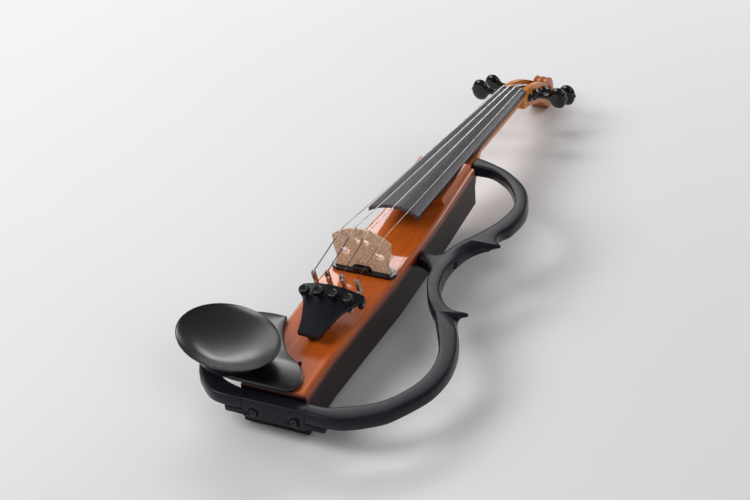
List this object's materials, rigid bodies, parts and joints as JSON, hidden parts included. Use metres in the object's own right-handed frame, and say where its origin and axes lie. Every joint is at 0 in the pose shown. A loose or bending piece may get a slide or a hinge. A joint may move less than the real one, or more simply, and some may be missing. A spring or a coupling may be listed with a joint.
{
  "type": "electric violin",
  "caption": "Electric violin: slim varnished trunk, open side frame, neck with scroll and turning pegs, bridge pickup, tailpiece with fine tuners, chin rest and flank controls.",
  "frame": {"origin": "on the flat back cover, straight below the bridge and between the middle strings", "axes": "+Y from the tail towards the scroll, +Z from the back towards the strings, +X towards the treble side"},
  "size_m": [0.1942, 0.5865, 0.1174],
  "materials": {
    "varnish": "high-gloss amber to red-brown varnish",
    "pale_varnish": "glossy yellow-amber varnish",
    "ebony": "satin, fine grain",
    "maple": "bare, flecked",
    "black_gloss": "gloss",
    "black_satin": "satin",
    "steel": "bright",
    "nickel": "polished nickel",
    "black_steel": "blackened",
    "circuit_green": "solder mask",
    "cell_wrap": "plain printed wrap",
    "gut_black": "matte"
  },
  "bodies": {
    "instrument": {"trunk": "varnish", "neck": "pale_varnish", "fingerboard": "ebony", "nut": "ebony", "bridge": "maple", "bridge_pickup": "black_gloss", "tail_bracket": "black_gloss", "back_cover": "black_satin", "tailpiece": "black_satin", "side_frame": "black_satin", "shoulder_arm": "black_satin", "chin_rest": "black_satin", "control_panel": "black_satin", "tuner_axle": "steel", "tail_post": "steel", "battery_door_pin": "steel", "string_g": "steel", "string_d": "steel", "string_a": "steel", "string_e": "steel", "line_jack": "nickel", "phones_jack": "nickel", "volume_pot": "nickel", "battery_contact": "nickel", "back_cover_screw_tail": "black_steel", "back_cover_screw_head": "black_steel", "frame_screw_heel": "black_steel", "frame_screw_waist": "black_steel", "frame_screw_tail": "black_steel", "arm_screw": "black_steel", "bracket_screw_left": "black_steel", "bracket_screw_right": "black_steel", "chin_rest_screw_rear": "black_steel", "chin_rest_screw_front": "black_steel", "circuit_board": "circuit_green", "battery_cell_lower": "cell_wrap", "battery_cell_upper": "cell_wrap", "tail_gut": "gut_black", "pickup_lead": "gut_black"},
    "peg_g": {"peg_g": "black_gloss", "peg_winding_g": "steel"},
    "peg_d": {"peg_d": "black_gloss", "peg_winding_d": "steel"},
    "peg_a": {"peg_a": "black_gloss", "peg_winding_a": "steel"},
    "peg_e": {"peg_e": "black_gloss", "peg_winding_e": "steel"},
    "tuner_screw_g": {"tuner_screw_g": "black_steel"},
    "tuner_lever_g": {"tuner_lever_g": "nickel"},
    "tuner_screw_d": {"tuner_screw_d": "black_steel"},
    "tuner_lever_d": {"tuner_lever_d": "nickel"},
    "tuner_screw_a": {"tuner_screw_a": "black_steel"},
    "tuner_lever_a": {"tuner_lever_a": "nickel"},
    "tuner_screw_e": {"tuner_screw_e": "black_steel"},
    "tuner_lever_e": {"tuner_lever_e": "nickel"},
    "volume_knob": {"volume_knob": "black_satin"},
    "reverb_switch": {"reverb_switch": "black_gloss"},
    "power_switch": {"power_switch": "black_gloss"},
    "battery_door": {"battery_door": "black_satin"}
  },
  "joints": [
    {"name": "peg_g_turn", "type": "hinge", "parent": "instrument", "child": "peg_g", "pos_m": [0, 0.341, 0.00566], "axis": [1, 0, 0], "continuous": true},
    {"name": "peg_d_turn", "type": "hinge", "parent": "instrument", "child": "peg_d", "pos_m": [0, 0.3704, -0.00453], "axis": [1, 0, 0], "continuous": true},
    {"name": "peg_a_turn", "type": "hinge", "parent": "instrument", "child": "peg_a", "pos_m": [0, 0.383, -0.01085], "axis": [1, 0, 0], "continuous": true},
    {"name": "peg_e_turn", "type": "hinge", "parent": "instrument", "child": "peg_e", "pos_m": [0, 0.3536, 0.00207], "axis": [1, 0, 0], "continuous": true},
    {"name": "tuner_screw_g_turn", "type": "hinge", "parent": "instrument", "child": "tuner_screw_g", "pos_m": [-0.0189, -0.06353, 0.05773], "axis": [0, 0.2924, -0.9563], "range_deg": [0, 720]},
    {"name": "tuner_lever_g_tilt", "type": "hinge", "parent": "instrument", "child": "tuner_lever_g", "pos_m": [-0.0189, -0.05379, 0.04983], "axis": [1, 0, 0], "range_deg": [0, 7.4]},
    {"name": "tuner_screw_d_turn", "type": "hinge", "parent": "instrument", "child": "tuner_screw_d", "pos_m": [-0.0073, -0.06353, 0.05773], "axis": [0, 0.2924, -0.9563], "range_deg": [0, 720]},
    {"name": "tuner_lever_d_tilt", "type": "hinge", "parent": "instrument", "child": "tuner_lever_d", "pos_m": [-0.0073, -0.05379, 0.04983], "axis": [1, 0, 0], "range_deg": [0, 7.4]},
    {"name": "tuner_screw_a_turn", "type": "hinge", "parent": "instrument", "child": "tuner_screw_a", "pos_m": [0.0043, -0.06353, 0.05773], "axis": [0, 0.2924, -0.9563], "range_deg": [0, 720]},
    {"name": "tuner_lever_a_tilt", "type": "hinge", "parent": "instrument", "child": "tuner_lever_a", "pos_m": [0.0043, -0.05379, 0.04983], "axis": [1, 0, 0], "range_deg": [0, 7.4]},
    {"name": "tuner_screw_e_turn", "type": "hinge", "parent": "instrument", "child": "tuner_screw_e", "pos_m": [0.0159, -0.06353, 0.05773], "axis": [0, 0.2924, -0.9563], "range_deg": [0, 720]},
    {"name": "tuner_lever_e_tilt", "type": "hinge", "parent": "instrument", "child": "tuner_lever_e", "pos_m": [0.0159, -0.05379, 0.04983], "axis": [1, 0, 0], "range_deg": [0, 7.4]},
    {"name": "volume_knob_turn", "type": "hinge", "parent": "instrument", "child": "volume_knob", "pos_m": [-0.02532, 0.04781, 0.019], "axis": [0.9953, -0.0969, 0], "range_deg": [-135, 135]},
    {"name": "reverb_switch_slide", "type": "slide", "parent": "instrument", "child": "reverb_switch", "axis": [0.0969, 0.9953, 0], "range_m": [0, 0.003]},
    {"name": "power_switch_slide", "type": "slide", "parent": "instrument", "child": "power_switch", "axis": [0.0969, 0.9953, 0], "range_m": [0, 0.003]},
    {"name": "battery_door_swing", "type": "hinge", "parent": "instrument", "child": "battery_door", "pos_m": [-0.029, -0.049, 0.0064], "axis": [0, -1, 0], "range_deg": [0, 90]}
  ],
  "couplings": [
    {"joint": "tuner_lever_g_tilt", "follows": "tuner_screw_g_turn", "ratio": 0.01023},
    {"joint": "tuner_lever_d_tilt", "follows": "tuner_screw_d_turn", "ratio": 0.01023},
    {"joint": "tuner_lever_a_tilt", "follows": "tuner_screw_a_turn", "ratio": 0.01023},
    {"joint": "tuner_lever_e_tilt", "follows": "tuner_screw_e_turn", "ratio": 0.01023}
  ]
}
